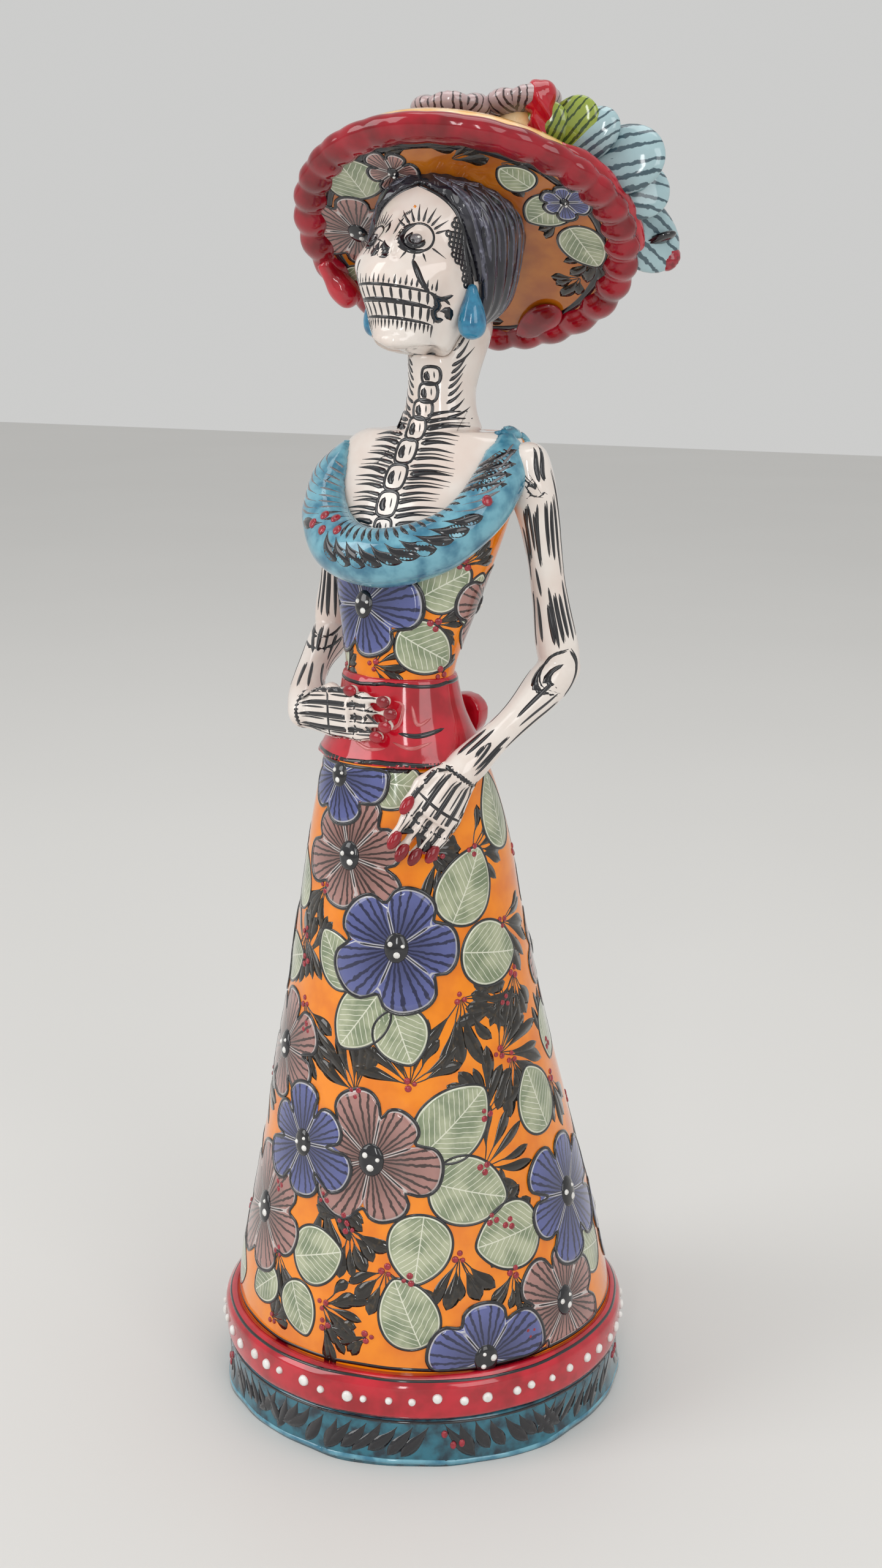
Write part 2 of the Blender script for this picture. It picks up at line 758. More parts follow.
# Kind, angle, height, radius, petals, turn of the first petal.
SKIRT_FLOWERS = [
    ("mauve", -5, 149, 14.5, 6, 16),
    ("blue", 18, 128, 15.2, 5, -3),
    ("blue", -17, 76, 14.5, 6, 36),
    ("mauve", 11, 76, 16.5, 6, -10),
    ("mauve", -36, 97, 15, 6, 30),
    ("mauve", -36, 54, 17, 6, 45),
    ("blue", 88, 59, 16.5, 6, 18),
    ("mauve", 77, 34, 15.5, 6, 19),
    ("blue", 150, 150, 12, 5, 20),
    ("mauve", -95, 146, 13, 6, 0),
    ("blue", -75, 118, 14, 5, 40),
    ("mauve", 120, 118, 15, 6, 15),
    ("blue", 185, 104, 16, 6, 0),
    ("mauve", -130, 96, 15, 5, 10),
    ("blue", -92, 66, 16, 6, 25),
    ("mauve", 150, 70, 16, 6, 5),
    ("mauve", -145, 52, 16, 6, 40),
    ("blue", 128, 42, 15, 5, 10),
    ("mauve", -85, 36, 15, 6, 12),
    ("blue", 176, 36, 15, 6, 30),
]
# Angle, height, length, width, heading.
SKIRT_LEAVES = [
    (42, 133, 18, 13, 64), (46, 126, 16, 14, -10), (0, 117, 15, 10, 128), (12, 117, 16, 12, -124),
    (17, 113, 13, 12, -70), (29, 78, 20, 15, 43), (31, 71, 19, 15, -18), (29, 63, 16, 14, -98),
    (82, 77, 17, 13, 108), (70, 56, 17, 15, -173), (-16, 47, 14, 13, 19), (-23, 40, 12, 9, -140),
    (-16, 41, 13, 10, -64), (28, 30, 17, 13, 112), (80, 148, 18, 11, 96), (-36, 132, 14, 9, 108),
    (2, 168, 13, 11, -8),
    (165, 142, 15, 12, -30), (135, 140, 14, 11, -150), (-78, 146, 14, 11, 10), (-110, 138, 15, 12, -120),
    (-55, 116, 14, 11, 20), (-92, 108, 14, 12, -120), (105, 106, 14, 12, -110), (140, 110, 15, 12, -30),
    (200, 96, 15, 12, -20), (168, 94, 15, 12, -150), (203, 116, 14, 12, 40), (-112, 86, 15, 12, -60),
    (-148, 88, 14, 12, -130), (-70, 62, 15, 12, -10), (-110, 56, 15, 12, -110), (172, 62, 15, 12, -20),
    (135, 60, 15, 12, -140), (-120, 46, 15, 12, -20), (-165, 44, 14, 12, -160), (106, 40, 13, 12, 170),
    (148, 34, 13, 12, 10), (-62, 32, 13, 11, 5), (-106, 30, 12, 11, 175),
]
# Root angle and height, heading, spread, dabs, length.
SKIRT_SPRAYS = [
    (54, 150, 10, 120, 6, 13), (70, 131, -20, 100, 5, 14), (44, 115, -60, 130, 7, 16),
    (24, 95, 88, 150, 8, 15), (50, 73, 0, 150, 7, 14), (52, 86, 80, 110, 6, 15),
    (66, 112, 150, 90, 5, 13), (52, 60, 60, 90, 5, 12),
    (17, 49, -90, 120, 6, 11), (58, 46, -100, 90, 5, 11), (-30, 127, -90, 90, 6, 13), (4, 92, 115, 80, 6, 14),
    (-22, 104, -70, 80, 5, 12), (74, 118, -100, 80, 6, 13), (92, 88, -90, 80, 5, 13),
    (-6, 64, -60, 90, 5, 12), (58, 58, -90, 70, 5, 10), (-24, 46, -80, 80, 5, 11),
    (24, 47, -90, 100, 6, 11), (-2, 33, -40, 100, 5, 10), (-28, 62, 100, 100, 5, 10),
    (36, 150, -60, 90, 5, 11), (-24, 28, 60, 90, 5, 8),
    (-25, 110, -55, 60, 5, 15), (-28, 120, 85, 70, 5, 14), (4, 58, -52, 80, 5, 12),
    (2, 60, 165, 50, 3, 9), (40, 52, -80, 70, 5, 12), (-3, 38, -12, 120, 6, 12),
    (60, 100, 30, 110, 6, 15), (66, 98, -75, 80, 5, 13), (-18, 140, -120, 60, 4, 10),
    (12, 32, -150, 50, 3, 8), (62, 30, 100, 60, 4, 9), (30, 152, -20, 50, 3, 9),
    (100, 145, 20, 120, 6, 13), (185, 150, -30, 120, 6, 13), (-130, 150, -40, 110, 6, 12),
    (-60, 138, -40, 80, 5, 12), (95, 96, 60, 120, 6, 14), (150, 92, 30, 110, 6, 13),
    (-160, 118, 30, 120, 6, 14), (-105, 118, -150, 100, 5, 12), (-60, 84, 10, 110, 6, 13),
    (118, 76, -60, 120, 6, 13), (-170, 74, 20, 120, 6, 13), (-115, 76, 160, 90, 5, 12),
    (158, 50, 60, 110, 5, 11), (-60, 46, -60, 70, 5, 11), (-125, 32, 40, 110, 5, 10),
    (108, 58, 60, 90, 5, 11), (200, 30, 40, 110, 5, 10), (152, 118, 150, 90, 5, 12),
]
for kind, a, b, radius, petals, turn in SKIRT_FLOWERS:
    flower(SKIRT, kind, a, b, radius, petals, turn, low=SKIRT_FLOOR + 0.4 - b)
for a, b, length, width, heading in SKIRT_LEAVES:
    leaf(SKIRT, a, b, length, width, heading, low=SKIRT_FLOOR + 0.4, high=WAIST)
for a, b, heading, spread, count, length in SKIRT_SPRAYS:
    spray(SKIRT, a, b, heading, spread, count + 1, length)
flower(SKIRT, "blue", 47, SKIRT_FLOOR + 2.2, 16, 5, 90, low=-1.6)
flower(SKIRT, "blue", -14, WAIST - 2.8, 13, 5, -4, high=2.4)
flower(BODICE, "blue", -22, 208, 14, 5, 5)
flower(BODICE, "mauve", 110, 207, 11, 5, 20)
flower(BODICE, "blue", -120, 206, 11, 5, 20)
flower(BODICE, "mauve", 180, 205, 11, 5, 0)
for a, b, length, width, heading in [
    (36, 210, 12, 11, 30), (17, 202, 14, 11, -30), (84, 203, 12, 8, 82), (-60, 200, 11, 9, -90),
    (140, 210, 11, 9, 20), (-150, 200, 11, 9, 170),
]:
    leaf(BODICE, a, b, length, width, heading, low=189)
for a, b, heading, spread, count, length in [
    (53, 204, 0, 100, 5, 7), (74, 218, 40, 90, 5, 7), (-6, 194, 5, 120, 5, 8), (150, 198, -60, 80, 4, 7),
    (-85, 212, 20, 100, 5, 7), (-50, 192, 10, 80, 4, 7), (60, 192, 60, 70, 4, 6),
]:
    spray(BODICE, a, b, heading, spread, count + 1, length, 2.1)

# ---- hem ----

BAND = Round(band_shape, AXIS, reach=120)
FOOT = Round(foot_shape, AXIS, reach=120)
band_low, band_high = floor_of("hem_band"), top_of("hem_band")
BEAD_COUNT = 54
FOOT_DABS = 84


def ring_line(paint, surface, height, width, wander=0.25, count=40):
    """A painted line all the way round, a little unsteady."""
    spot = surface.spot(0, height)
    places = []
    for i in range(count + 1):
        turn = 360 * i / count
        rise = wander * math.sin(5.0 * math.radians(turn)) + wander * wobble(i % count, 0.5)
        places.append((turn * spot.a_size, rise))
    stroke(paint, spot, places, width, even, step=2.0)


for height, width in [(band_low + 0.6, 1.1), (band_high - 0.7, 1.0)]:
    ring_line(BLACK_LINES, BAND, height, width)
ring_line(BLACK_LINES, SKIRT, band_high + 0.7, 0.9)
ring_line(BLACK_LINES, FOOT, top_of("base_flounce") - 0.9, 1.3)
for i in range(BEAD_COUNT):
    angle = 360 / BEAD_COUNT * i + wobble(i, 1.2)
    height = (band_low + band_high) / 2 + 0.3 + wobble(i + 3, 0.5)
    size = 1.25 + wobble(i + 7, 0.3)
    dome(BEADS, BAND.spot(angle, height), size, size, 0.95)
for i in range(FOOT_DABS):
    a = 360 / FOOT_DABS * i
    lean = (6 if i // 8 % 2 else -6) + wobble(i, 2.5)
    height = 11.2 + wobble(i + 4, 0.5)
    lower = 3.0 + wobble(i + 9, 1.1)
    dab = [(a, height), (a + lean / 3, 7.5), (a + lean, lower)]
    drawn(BLACK_LINES, FOOT, dab, 3.4, profile=tear, lift=0.09)
    if i % 16 == 8:
        for k in range(3):
            dome(BERRIES, FOOT.spot(a + 2.4 * k, 7.0 + wobble(i + k, 1.6)), 0.9, 1.2, 0.5)
ring_line(PALE_TEAL, FOOT, 1.1, 1.3)

# ---- skin ----

CHEST_SHAPE = pushed(skin_over(["chest", "neck"], 0.6, 8), ripple(9, 0.15))
piece("chest_and_neck", CHEST_SHAPE, CREAM, ["chest", "neck"])
CHEST = Flat(CHEST_SHAPE, (0, 0, 0), RIGHT, UP)
NECK = Round(CHEST_SHAPE, (2, 9, 0))

# Middle of each neck and breast bone link: x and height, half width and half height.
LINKS = [
    (3.0, 261, 2.4, 2.1), (2.4, 257, 2.5, 2.3), (1.3, 253.0, 2.7, 2.3), (0.2, 248.6, 2.6, 2.7),
    (-0.7, 243.4, 2.7, 2.8), (-1.2, 237.6, 2.8, 2.9), (-1.4, 231.6, 2.8, 2.9), (-1.4, 226.4, 2.4, 2.0),
]


def bone_link(x, z, wide, tall):
    """One outlined link of the chain of bones, with the dark mark inside it."""
    spot = CHEST.spot(x, z)
    loop = []
    for x, y in arc(1, 1, whole_turn(12)):
        loop.append((wide * math.copysign(abs(x) ** 0.7, x), tall * math.copysign(abs(y) ** 0.7, y)))
    stroke(BLACK_LINES, spot, loop, 0.8, even, closed=True, step=0.7)
    mark = [(-0.35 * wide, 0.5 * tall), (-0.45 * wide, -0.1 * tall), (-0.1 * wide, -0.55 * tall)]
    stroke(BLACK_LINES, spot, mark, 1.7, step=0.6)
    stroke(BLACK_LINES, spot, [(0.35 * wide, 0.45 * tall), (0.4 * wide, -0.3 * tall)], 0.4, step=0.6)


def ribs():
    """Pairs of tapering brush lines each side of the chain."""
    for row in range(17):
        z = 225.5 + 1.65 * row
        near = 2.9 + 0.4 * wobble(row)
        far = 12.5 + 1.6 * math.sin(0.25 * row) + wobble(row + 5, 1.5)
        middle = -1.2 + 0.12 * max(0, row - 5)
        fall = 0.6 * math.sin(0.5 * row)
        for side in (-1, 1):
            start = (middle + side * near, z + wobble(row + side, 0.3))
            end = (middle + side * (near + 0.78 * far * (1 if side > 0 else 0.85)), z + fall * side)
            halfway = ((start[0] + end[0]) / 2, (start[1] + end[1]) / 2 + 0.5)
            drawn(BLACK_LINES, CHEST, [start, halfway, end], 1.25 + wobble(row, 0.3), profile=taper)
            if row % 2:
                lower = [(x, h - 1.0) for x, h in (start, halfway, end)]
                drawn(BLACK_LINES, CHEST, lower, 0.55, profile=taper)


def neck_ticks():
    """Short lines up both sides of the neck, longer and steeper towards the jaw."""
    for side in (-1, 1):
        for i in range(13):
            height = 251 + 1.75 * i
            near = 24 + 1.5 * i + wobble(i, 3)
            length = 30 + wobble(i + side, 8)
            a = 4 + side * near
            rise = 1.3 + 0.12 * i
            bend = (a + side * length / 2, height + rise * 0.8)
            end = (a + side * length, height + rise * 2)
            drawn(BLACK_LINES, NECK, [(a, height), bend, end], 1.0, profile=taper, step=0.8)


for link in LINKS:
    bone_link(*link)
ribs()
neck_ticks()

# Shoulder, elbow, wrist and fingertip, and the way the back of the hand faces.
ARMS = {
    "left": (
        (27, 3.4, 240.6), (34.4, 7.2, 192), (21.2, -20.2, 169.8), (13.4, -32.4, 151.6), (0.78, -0.62, 0.10),
    ),
    "right": (
        (-24.2, 3.4, 237.6), (-28.6, 5.6, 197), (-21.8, -19.8, 180.6), (7.4, -28.4, 182.6), (-0.26, -0.96, 0),
    ),
}
FINGERS = ("index", "middle", "ring", "little")


class Arm:
    """One arm's skin and the ways its three stretches are painted."""

    def __init__(self, side):
        nodes = [f"{side}_upper_arm", f"{side}_forearm", f"{side}_palm", f"{side}_thumb"]
        nodes += [f"{side}_{finger}_finger" for finger in FINGERS]
        shape = pushed(skin_over(nodes, 0.42, 5), ripple(6, 0.12))
        piece(f"{side}_arm", shape, CREAM, nodes)
        shoulder, elbow, wrist, fingertip, back = (Vector(v) for v in ARMS[side])
        self.upper = Round(shape, shoulder, shoulder - elbow, reach=22)
        self.fore = Round(shape, elbow, elbow - wrist, reach=16)
        along = (fingertip - wrist).normalized()
        across = (back - along * back.dot(along)).normalized().cross(along)
        self.hand = Flat(shape, wrist, along, across, reach=14)


left_arm = Arm("left")
right_arm = Arm("right")


def nail_shape(side, arm, stretch, squash):
    """The nails of a hand, drawn out along the fingers and flattened on their backs."""
    points, faces = skin_over([side + "_nails"], 0.3, 3)
    group = list(range(len(points)))

    def find(i):
        while group[i] != i:
            group[i] = group[group[i]]
            i = group[i]
        return i

    for face in faces:
        for i in face[1:]:
            group[find(i)] = find(face[0])
    members = {}
    for i in range(len(points)):
        members.setdefault(find(i), []).append(i)
    along, over = arm.hand.across, arm.hand.normal
    moved = list(points)
    for nail in members.values():
        middle = sum((points[i] for i in nail), Vector()) / len(nail)
        for i in nail:
            offset = points[i] - middle
            offset += along * offset.dot(along) * (stretch - 1) + over * offset.dot(over) * (squash - 1)
            moved[i] = middle + offset * 1.12 + along * 0.3
    return moved, faces


for side, arm, stretch, squash in (("left", left_arm, 1.75, 0.75), ("right", right_arm, 1.5, 0.6)):
    nails = nail_shape(side, arm, stretch, squash)
    piece(side + "_nail_paint", nails, DEEP_RED, [side + "_nails"])

# Lines painted on each stretch of arm: angle from its front, and height along it from its upper end.
LEFT_UPPER = [
    [(-25, 3), (-12, -1), (7, -3.5), (22, -6.5), (40, -7.5), (52, -6.5)], [(-8, 4), (8, -2), (34, -5.5)],
    [(58, 4), (46, 0), (45, -4)], [(82, 4), (60, -1), (58, -4)], [(-60, 3), (-75, -10), (-70, -22)],
    [(6, -9), (-8, -15), (-19, -23)], [(33, -9), (24, -15), (19, -23)], [(51, -9), (47, -15), (44, -22)],
    [(68, -9), (62, -15), (58, -23)], [(88, -2), (98, -20), (92, -42)], [(0, -24), (4, -31)],
    [(-30, -30), (-38, -37), (-42, -43)], [(-11, -31), (-12, -42)], [(39, -31), (42, -37), (45, -43)],
    [(56, -31), (60, -42)],
    [(20, -11), (17, -24)], [(11, -9), (7, -20)], [(76, -8), (74, -27)], [(28, -29), (31, -44)],
    [(19, -33), (21, -43)], [(76, -28), (77, -43)], [(-4, -10), (-10, -22)], [(-22, -14), (-30, -27)],
    [(50, -45), (10, -45.5), (-16, -48), (-10, -52), (12, -55)], [(36, -48), (7, -49), (1, -51), (14, -53)],
    [(58, -45), (80, -49), (62, -53), (22, -56)],
]
LEFT_FORE = [
    [(-71, -6), (-60, -15), (-46, -24)], [(30, -7), (29, -19)], [(66, -7), (62, -13), (56, -20)],
    [(14, -30), (18, -34)], [(16, -30), (24, -28.5), (31, -31), (34, -36)], [(52, -24), (46, -36)],
    [(0, -25), (-6, -35)], [(88, -8), (80, -26)], [(-28, -26), (-30, -36)], [(60, -27), (58, -37)],
]
RIGHT_UPPER = [
    [(-16, -20), (-11, -37)], [(2, -22), (10, -37)], [(22, -20), (33, -37)], [(44, -22), (54, -35)],
    [(-36, -24), (-28, -36)], [(-34, -40), (10, -41.5), (54, -39)], [(-16, -43), (20, -43.5), (50, -41.5)],
    [(-10, -4), (-14, -16)], [(20, -4), (24, -16)], [(-60, -6), (-70, -30)],
]
RIGHT_FORE = [
    [(-20, -4), (-8, -10), (2, -14)], [(10, -5), (14, -13)], [(34, -5), (44, -13)], [(66, -6), (80, -14)],
    [(12, -17), (33, -27)], [(60, -16), (88, -24)], [(-40, -8), (-44, -24)], [(-10, -18), (-4, -27)],
]


def bare_side(surface, low, high, mirror):
    """Long thin lines round the side of an arm that faces away."""
    for i in range(5):
        a = mirror * (128 + 34 * i)
        middle = (low + high) / 2 + wobble(i, 2)
        drawn(BLACK_LINES, surface, [(a, high), (a + 5, middle + 2)], 0.5, step=1.5)
        drawn(BLACK_LINES, surface, [(a + 4, middle - 2), (a, low)], 0.5, step=1.5)


for surface, paths in [
    (left_arm.upper, LEFT_UPPER), (left_arm.fore, LEFT_FORE),
    (right_arm.upper, RIGHT_UPPER), (right_arm.fore, RIGHT_FORE),
]:
    for i, path in enumerate(paths):
        drawn(BLACK_LINES, surface, path, 0.95 + wobble(i, 0.22), lift=0.06)
        shade = [(a + 5, b + 0.4) for a, b in path]
        if i % 2:
            drawn(BLACK_LINES, surface, shade, 0.45, profile=taper, lift=0.05)
bare_side(left_arm.upper, -42, -4, 1)
bare_side(left_arm.fore, -34, -6, 1)
bare_side(right_arm.upper, -36, -6, -1)
bare_side(right_arm.fore, -28, -5, -1)


def hand_lines(arm, half_width, knuckles, tips):
    """Bones drawn on the back of a hand: gaps, finger bones, and lines across at the joints."""
    spacing = half_width / 2
    for i in range(5):
        y = (i - 2) * spacing
        fan = 0.8 * y
        drawn(BLACK_LINES, arm.hand, [(1.5, fan), (knuckles - 2, y), (tips, y * 1.02)], 1.3)
    joints = (knuckles + tips) / 2
    for i in range(4):
        y = (i - 1.5) * spacing
        palm = (2.5, 0.82 * y + 0.5), (knuckles - 0.8, 0.95 * y + 0.4)
        first = (knuckles + 0.6, y + 0.5), (joints, y + 0.4)
        second = (joints + 0.8, y + 0.5), (tips - 0.6, y + 0.4)
        for bone in (palm, first, second):
            drawn(BLACK_LINES, arm.hand, bone, 0.45, step=0.8)
    edge = [(2, half_width * 0.95), (knuckles, half_width * 1.05), (tips - 3, half_width)]
    drawn(BLACK_LINES, arm.hand, edge, 0.9)
    for x in (0.8, knuckles, joints):
        third = half_width / 3
        path = [(x - 0.5, -half_width), (x + 0.4, -third), (x + 0.4, third), (x - 0.5, half_width)]
        drawn(BLACK_LINES, arm.hand, path, 0.8 if x > 1 else 1.2)


hand_lines(left_arm, 7.0, 10, 20.5)
hand_lines(right_arm, 6.0, 10.5, 27)

# ---- head ----

# The head is turned a little to the figure's right and lifted.
HEAD_CENTRE = Vector((2, 7, 287))
HEAD_TURN = math.radians(-11)
HEAD_LIFT = math.radians(12)
HEAD_FACING = Vector((math.sin(HEAD_TURN), -math.cos(HEAD_TURN), 0))
HEAD_UP = UP * math.cos(HEAD_LIFT) - HEAD_FACING * math.sin(HEAD_LIFT)

# Angle and height on the head, spread in degrees and millimetres, and how far it swells or sinks.
RELIEF = [
    (22, 1.4, 12, 5.0, -1.3), (-3, 1.2, 11, 5.0, -1.3), (22, 1.0, 7, 3.0, 1.5), (-3, 0.8, 6, 3.0, 1.5),
    (9, 3.5, 5, 4.5, 0.7), (8, -1.5, 6, 3.0, 1.2), (5.0, -2.6, 3, 1.6, -1.1), (11.0, -2.6, 3, 1.6, -1.1),
    (44, -4.0, 10, 3.5, 1.2), (-26, -4.0, 10, 3.5, 1.2), (46, -12.0, 9, 4.0, -1.3),
    (-28, -12.0, 9, 4.0, -1.3),
    (10, -13.4, 24, 4.6, 0.9), (10, -19.8, 16, 1.6, -0.6), (10, -22.5, 14, 2.6, 0.8),
    (-24, -21.5, 16, 3.5, -2.4), (46, -20.5, 14, 4.0, -1.8), (12, -22.5, 10, 2.5, 0.7),
    (60, 4.0, 10, 6.0, -0.9), (-40, 4.0, 10, 6.0, -0.9), (10, 12.0, 22, 5.0, 0.6), (20, 7.0, 9, 2.2, 0.5),
]


def head_place(point):
    """Angle and height of a point on the head."""
    offset = point - HEAD_CENTRE
    side = HEAD_UP.cross((HEAD_FACING - HEAD_UP * HEAD_FACING.dot(HEAD_UP)).normalized())
    front = side.cross(HEAD_UP)
    return math.degrees(math.atan2(offset.dot(side), offset.dot(front))), offset.dot(HEAD_UP)


def face_relief(point):
    """The swell or hollow of the face at a point, fading out within 12 mm of the head's axis."""
    angle, height = head_place(point)
    offset = point - HEAD_CENTRE
    fade = min(1.0, (offset - HEAD_UP * height).length / 12)
    rise = 0.0
    for a, b, wide, tall, amount in RELIEF:
        rise += fade * amount * math.exp(-((angle - a) / wide) ** 2 - ((height - b) / tall) ** 2)
    return rise


skull_shape = pushed(skin_over(["skull"], 0.5, 10), face_relief)
piece("skull_head", skull_shape, CREAM, ["skull"])
FACE = Round(skull_shape, HEAD_CENTRE, HEAD_UP, HEAD_FACING, reach=45)


def eye(a, b, wide, tall, turn):
    """A round staring eye: heavy outline, pupil with a white glint, and lashes."""
    spot = FACE.spot(a, b)
    stroke(BLACK_LINES, spot, arc(wide, tall, whole_turn(16)), 0.6, even, closed=True, step=0.7)
    heavy = arc(wide, tall, (1.9, 2.4, 2.9, 3.5, 4.1, 4.8, 5.4))
    stroke(BLACK_LINES, spot, heavy, 1.7, step=0.7)
    dome(GREY_LINES, spot, 0.42 * wide, 0.42 * tall, 0.5, -0.05 * wide, -0.12 * tall)
    low = arc(0.5 * wide, 0.5 * tall, (2.2, 2.9, 3.7, 4.6, 5.5, 6.3), -0.05 * wide, -0.15 * tall)
    stroke(BLACK_LINES, spot, low, 1.5, line, 0.55, 0.3, step=0.6)
    dome(BLACK_LINES, spot, 0.2 * wide, 0.2 * tall, 0.5, -0.15 * wide, -0.3 * tall)
    dome(DOTS, spot, 0.13 * wide, 0.14 * tall, 0.55, 0.1 * wide, -0.05 * tall)

    def lash(angle, far, width):
        way = Vector((wide * math.cos(math.radians(angle)), tall * math.sin(math.radians(angle))))
        stroke(BLACK_LINES, spot, [way * 1.15, way * (1.15 + far) / 2, way * far], width, taper, step=0.6)

    for i in range(9):
        lash(24 + 15 * i + turn, 2.15 + 0.2 * (i % 2), 0.8)
    for angle, far in ((-112, 1.75), (-88, 1.75), (-64, 1.75), (-30, 2.3)):
        lash(angle + turn / 2, far, 0.6)


def mouth():
    """Two rows of teeth in a black grid, with gum ticks above and below."""
    first, last = -20, 38
    for height, width in ((-10.0, 0.8), (-13.2, 1.25), (-16.7, 0.8)):
        path = [(first + (last - first) * k / 6, height - 0.008 * (k * 10 - 20)) for k in range(7)]
        drawn(BLACK_LINES, FACE, path, width)
    for i in range(12):
        a = first + (last - first) * i / 11
        drawn(BLACK_LINES, FACE, [(a, -10.1), (a + 0.4, -13.0)], 0.7, step=0.7)
        drawn(BLACK_LINES, FACE, [(a + 1.5, -13.4), (a + 1.2, -16.6)], 0.7, step=0.7)
    for i in range(20):
        a = first + (last - first) * i / 19
        tall = 1.5 + 0.9 * (i % 2) + wobble(i, 0.4)
        drawn(BLACK_LINES, FACE, [(a, -9.7), (a + 0.3, -9.7 + tall)], 0.7, profile=taper, step=0.6)
        drawn(BLACK_LINES, FACE, [(a, -17.0), (a - 0.3, -17.6 - tall * 0.8)], 0.7, profile=taper, step=0.6)


def face():
    """Eyes, nostrils, brow, cheek and jaw lines, and a net of rings down each temple."""
    eye(21.0, 1.7, 3.7, 3.9, 0)
    eye(-13.0, 1.8, 2.4, 2.9, 20)
    for path, width, profile in [
        ([(0.8, 0.4), (2.4, -1.6), (6.0, -4.0)], 3.7, tear),
        ([(-2.2, 0.2), (-3.6, -1.8), (-5.4, -3.6)], 2.9, tear),
        ([(8.6, 6.2), (5.4, 4.2), (4.4, 2.0)], 0.8, line),
        ([(-4.6, 5.4), (-2.6, 3.8), (-2.0, 2.2)], 0.7, line),
        ([(21, -3.6), (24.5, -5.8), (28.5, -8.4), (34, -10.6)], 1.4, line),
        ([(33, -10.2), (42, -11), (53, -9.6)], 1.1, line),
        ([(-16, -4.0), (-18, -7.0), (-21, -10)], 1.0, taper),
        ([(36, -11.0), (42, -12.4), (38, -14.0), (41, -15.6), (48, -15.2)], 1.7, line),
        ([(40, -11.6), (46, -10.9), (52, -11.8)], 0.8, line),
        ([(43, -13.6), (50, -13.2), (56, -15.0)], 2.6, tear),
        ([(-24, -11), (-27, -13), (-25, -15.5)], 1.0, line),
    ]:
        drawn(BLACK_LINES, FACE, path, width, profile=profile, step=0.7)
    for i in range(4):
        tick = [(8 + 1.6 * i, 7.4 + 0.3 * i), (6.6 + 1.5 * i, 6.0 + 0.3 * i)]
        drawn(BLACK_LINES, FACE, tick, 0.35, step=0.6)
    for mirror in (1, -1):
        for row in range(13):
            height = 7.2 - 1.15 * row
            hairline = 56 + 1.5 * max(0, row - 1)
            edge_a = 10 + mirror * (hairline - 10)
            for column in range(5 if 2 < row < 9 else 3):
                a = edge_a - mirror * (2.2 + 3.3 * column + 1.6 * (row % 2))
                ring = arc(0.62, 0.62, whole_turn(6))
                stroke(BLACK_LINES, FACE.spot(a, height), ring, 0.6, even, closed=True, step=0.4)
        places = [(10 + mirror * (a - 10), b) for a, b in ((55, 8), (57, 4), (62, -1), (69, -5.5), (76, -9))]
        drawn(BLACK_LINES, FACE, places, 2.2)


face()
mouth()
drawn(YELLOW_MARKS, FACE, [(13.2, 9.4), (14.5, 8.6)], 0.9, profile=tear, step=0.5)

# Angle and height of the hair's edge on the figure's left; the right mirrors it about 10 degrees.
HAIR_EDGE = [(10, 15.0), (31, 12.6), (46, 9.5), (55, 5.5), (66, 0), (76, -5), (95, -9)]


def strands(point):
    """Height of the combed ridges that run down beside the face."""
    angle, height = head_place(point)
    return 0.22 * math.sin(0.42 * (abs(angle - 8) + 1.2 * (height - 10))) + 0.1 * noise.noise(point / 3)


def hairline_at(angle):
    """Height of the hair's edge at an angle round the head."""
    turn = abs(angle - 10) + 10
    for (a, b), (c, d) in zip(HAIR_EDGE, HAIR_EDGE[1:]):
        if turn <= c:
            return b + (d - b) * max(0.0, turn - a) / (c - a)
    return HAIR_EDGE[-1][1]


def hair_cap(shape, thick):
    """The part of the skull above the hairline, thickened into a cap of hair."""
    points, faces = shape

    def depth(point):
        angle, height = head_place(point)
        return height - hairline_at(angle)

    normals = normals_of(shape)
    kept = [face for face in faces if all(depth(points[i]) > 0 for i in face)]
    index = {}
    for face in kept:
        for i in face:
            index.setdefault(i, len(index))
    outer, inner = [], []
    for i in index:
        rise = thick * min(1.0, max(0.0, depth(points[i])) / 3.5) ** 0.5 + 0.1
        outer.append(points[i] + normals[i] * (rise + strands(points[i])))
        inner.append(points[i] - normals[i] * 0.4)
    count = len(index)
    quads = [[index[i] for i in face] for face in kept]
    edges = dict.fromkeys((quad[k - 1], quad[k]) for quad in quads for k in range(len(quad)))
    walls = [[b, a, count + a, count + b] for a, b in edges if (b, a) not in edges]
    return outer + inner, quads + [[count + i for i in quad] for quad in turned(quads)] + walls


